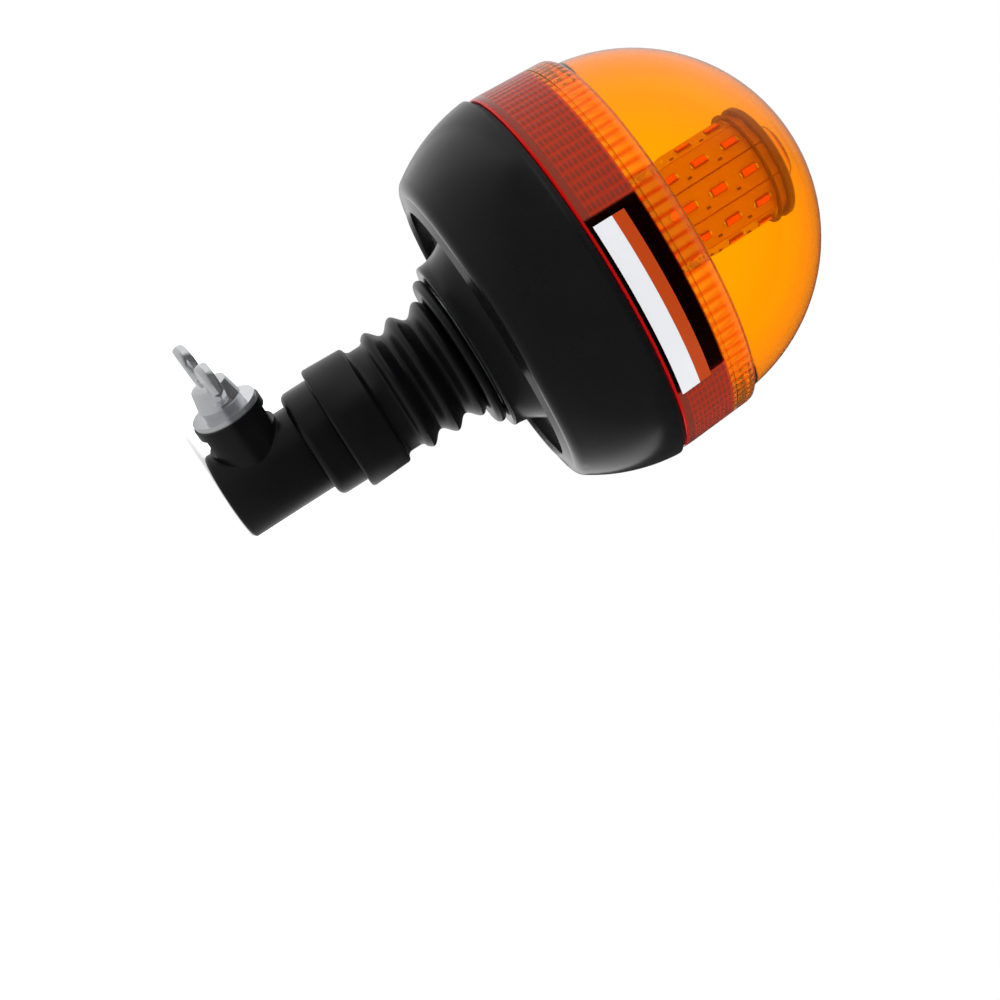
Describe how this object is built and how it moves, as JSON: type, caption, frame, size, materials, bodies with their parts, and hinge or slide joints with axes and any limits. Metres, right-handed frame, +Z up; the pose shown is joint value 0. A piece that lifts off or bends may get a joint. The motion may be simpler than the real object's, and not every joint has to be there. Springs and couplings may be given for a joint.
{
  "type": "amber signal beacon",
  "caption": "Domed amber signal beacon: fixed light tower under a screw-on ribbed lens, on a flexible rubber stem with a clamp socket for a standard pole.",
  "frame": {"origin": "centre of the socket's open end, on the beacon's axis", "axes": "+Z runs up the axis to the top of the dome; the middle of the plain lens panel faces 22.7 degrees from -Y towards +X; the clamp screw points 30 degrees from -X towards -Y"},
  "size_m": [0.1424, 0.1424, 0.2303],
  "materials": {
    "socket_plastic": "smooth moulded",
    "base_plastic": "smooth moulded",
    "insulator_plastic": "moulded",
    "stem_rubber": "moulded",
    "seal_rubber": "moulded",
    "zinc_steel": "bright zinc",
    "chrome_steel": "bright plated",
    "contact_brass": "turned",
    "spring_steel": "drawn wire",
    "cable_jacket": "extruded",
    "driver_circuit_board": "solder mask",
    "capacitor_sleeve": "sleeved",
    "ferrite": "moulded",
    "chip_epoxy": "moulded",
    "deck_plastic": "moulded",
    "core_aluminium": "extruded",
    "strip_circuit_board": "white solder mask",
    "diode_package": "moulded",
    "retainer_plastic": "moulded",
    "cap_plastic": "moulded",
    "amber_lens": "clear moulded",
    "bare_foil": "bare two-tone foil"
  },
  "bodies": {
    "socket": {"socket_tube": "socket_plastic", "contact_insulator": "insulator_plastic", "contact_cap": "insulator_plastic", "contact_spring": "spring_steel", "captive_nut": "zinc_steel"},
    "contact": {"contact_pin": "contact_brass"},
    "clamp_washers": {"flat_washer": "zinc_steel", "spring_washer": "zinc_steel"},
    "clamp_screw": {"wing_screw": "chrome_steel"},
    "stem": {"flex_stem": "stem_rubber", "supply_cable": "cable_jacket"},
    "head": {"stem_stud": "zinc_steel", "stud_washer": "zinc_steel", "stud_nut": "zinc_steel", "base_housing": "base_plastic", "driver_board": "driver_circuit_board", "board_screws": "zinc_steel", "smoothing_capacitors": "capacitor_sleeve", "storage_inductor": "ferrite", "input_terminal": "insulator_plastic", "driver_chips": "chip_epoxy", "tower_cable": "cable_jacket", "deck_plate": "deck_plastic", "deck_screws": "zinc_steel", "tower_screws": "zinc_steel", "tower_core": "core_aluminium", "led_strip_01": "strip_circuit_board", "led_strip_02": "strip_circuit_board", "led_strip_03": "strip_circuit_board", "led_strip_04": "strip_circuit_board", "led_strip_05": "strip_circuit_board", "led_strip_06": "strip_circuit_board", "led_strip_07": "strip_circuit_board", "led_strip_08": "strip_circuit_board", "led_strip_09": "strip_circuit_board", "led_strip_10": "strip_circuit_board", "led_set_01": "diode_package", "led_set_02": "diode_package", "led_set_03": "diode_package", "led_set_04": "diode_package", "led_set_05": "diode_package", "led_set_06": "diode_package", "led_set_07": "diode_package", "led_set_08": "diode_package", "led_set_09": "diode_package", "led_set_10": "diode_package", "strip_retainer": "retainer_plastic", "tower_cap": "cap_plastic"},
    "lens_seal": {"lens_gasket": "seal_rubber"},
    "lens": {"lens_dome": "amber_lens", "label_foil": "bare_foil"}
  },
  "joints": [
    {"name": "flex_side", "type": "hinge", "parent": "socket", "child": "stem", "pos_m": [0, 0, 0.071], "axis": [0, 1, 0], "range_deg": [-25, 25], "stiffness_Nm_per_rad": 8, "deforming": ["flex_stem", "supply_cable"]},
    {"name": "flex_fore", "type": "hinge", "parent": "stem", "child": "head", "pos_m": [0, 0, 0.086], "axis": [1, 0, 0], "range_deg": [-25, 25], "stiffness_Nm_per_rad": 8, "deforming": ["flex_stem", "supply_cable"]},
    {"name": "lens_lift", "type": "slide", "parent": "head", "child": "lens_seal", "axis": [0, 0, 1], "range_m": [0, 0.0201]},
    {"name": "lens_turn", "type": "hinge", "parent": "lens_seal", "child": "lens", "pos_m": [0, 0, 0.15], "axis": [0, 0, 1], "range_deg": [0, 450]},
    {"name": "screw_travel", "type": "slide", "parent": "socket", "child": "clamp_washers", "axis": [-0.866, -0.5, 0], "range_m": [0, 0.005]},
    {"name": "screw_turn", "type": "hinge", "parent": "clamp_washers", "child": "clamp_screw", "pos_m": [0, 0, 0.0157], "axis": [-0.866, -0.5, 0], "range_deg": [0, 1445]},
    {"name": "contact_press", "type": "slide", "parent": "socket", "child": "contact", "axis": [0, 0, 1], "range_m": [0, 0.003], "stiffness_N_per_m": 900, "springref_m": -0.001, "deforming": ["contact_spring"]}
  ],
  "couplings": [
    {"joint": "lens_lift", "follows": "lens_turn", "m_per_rad": 0.0025465},
    {"joint": "screw_turn", "follows": "screw_travel", "rad_per_m": 5026.5}
  ]
}
